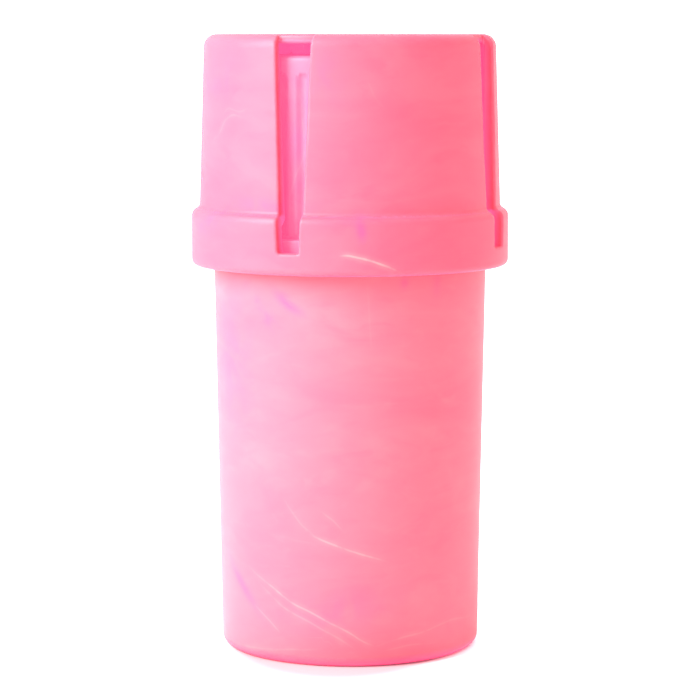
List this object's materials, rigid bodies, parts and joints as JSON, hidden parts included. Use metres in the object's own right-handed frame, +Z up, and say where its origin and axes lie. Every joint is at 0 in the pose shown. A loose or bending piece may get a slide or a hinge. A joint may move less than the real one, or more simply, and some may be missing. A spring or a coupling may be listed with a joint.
{
  "type": "pill splitter vial",
  "caption": "Tall round tablet vial with a push-and-turn double cap, a fluted inner cap seen through slots, and a toothed twist breaker in its mouth.",
  "frame": {"origin": "middle of the vial's foot ring, on the table", "axes": "+Z up along the vial and both caps, -Y towards the viewer, +X to the viewer's right"},
  "size_m": [0.0514, 0.0514, 0.0995],
  "materials": {
    "marbled_plastic": "satin, marbled with pale and lilac wisps",
    "acetal": "fine moulded grain",
    "spring_steel": "drawn wire and zinc plate",
    "silicone": "matt, slightly clear",
    "nitrile": "matt black"
  },
  "bodies": {
    "vial": {"vial": "marbled_plastic", "lower_breaker": "acetal"},
    "seal": {"rim_gasket": "silicone"},
    "inner_cap": {"inner_cap": "marbled_plastic", "spring_washer": "spring_steel", "return_spring": "spring_steel"},
    "rotor": {"drive_shaft": "acetal", "shaft_o_ring": "nitrile", "upper_breaker": "acetal", "breaker_screw": "spring_steel"},
    "outer_cap": {"outer_cap": "marbled_plastic"}
  },
  "joints": [
    {"name": "cap_rise", "type": "slide", "parent": "vial", "child": "seal", "axis": [0, 0, 1], "range_m": [0, 0.027]},
    {"name": "cap_unscrew", "type": "hinge", "parent": "seal", "child": "inner_cap", "pos_m": [0, 0, 0.08], "axis": [0, 0, 1], "range_deg": [0, 1080]},
    {"name": "grind_turn", "type": "hinge", "parent": "inner_cap", "child": "rotor", "pos_m": [0, 0, 0.088], "axis": [0, 0, 1], "continuous": true},
    {"name": "cap_push", "type": "slide", "parent": "rotor", "child": "outer_cap", "axis": [0, 0, 1], "range_m": [-0.0015, 0], "stiffness_N_per_m": 1000, "springref_m": 0.004, "deforming": ["return_spring"]}
  ],
  "couplings": [
    {"joint": "cap_rise", "follows": "cap_unscrew", "m_per_rad": 0.0014324}
  ]
}
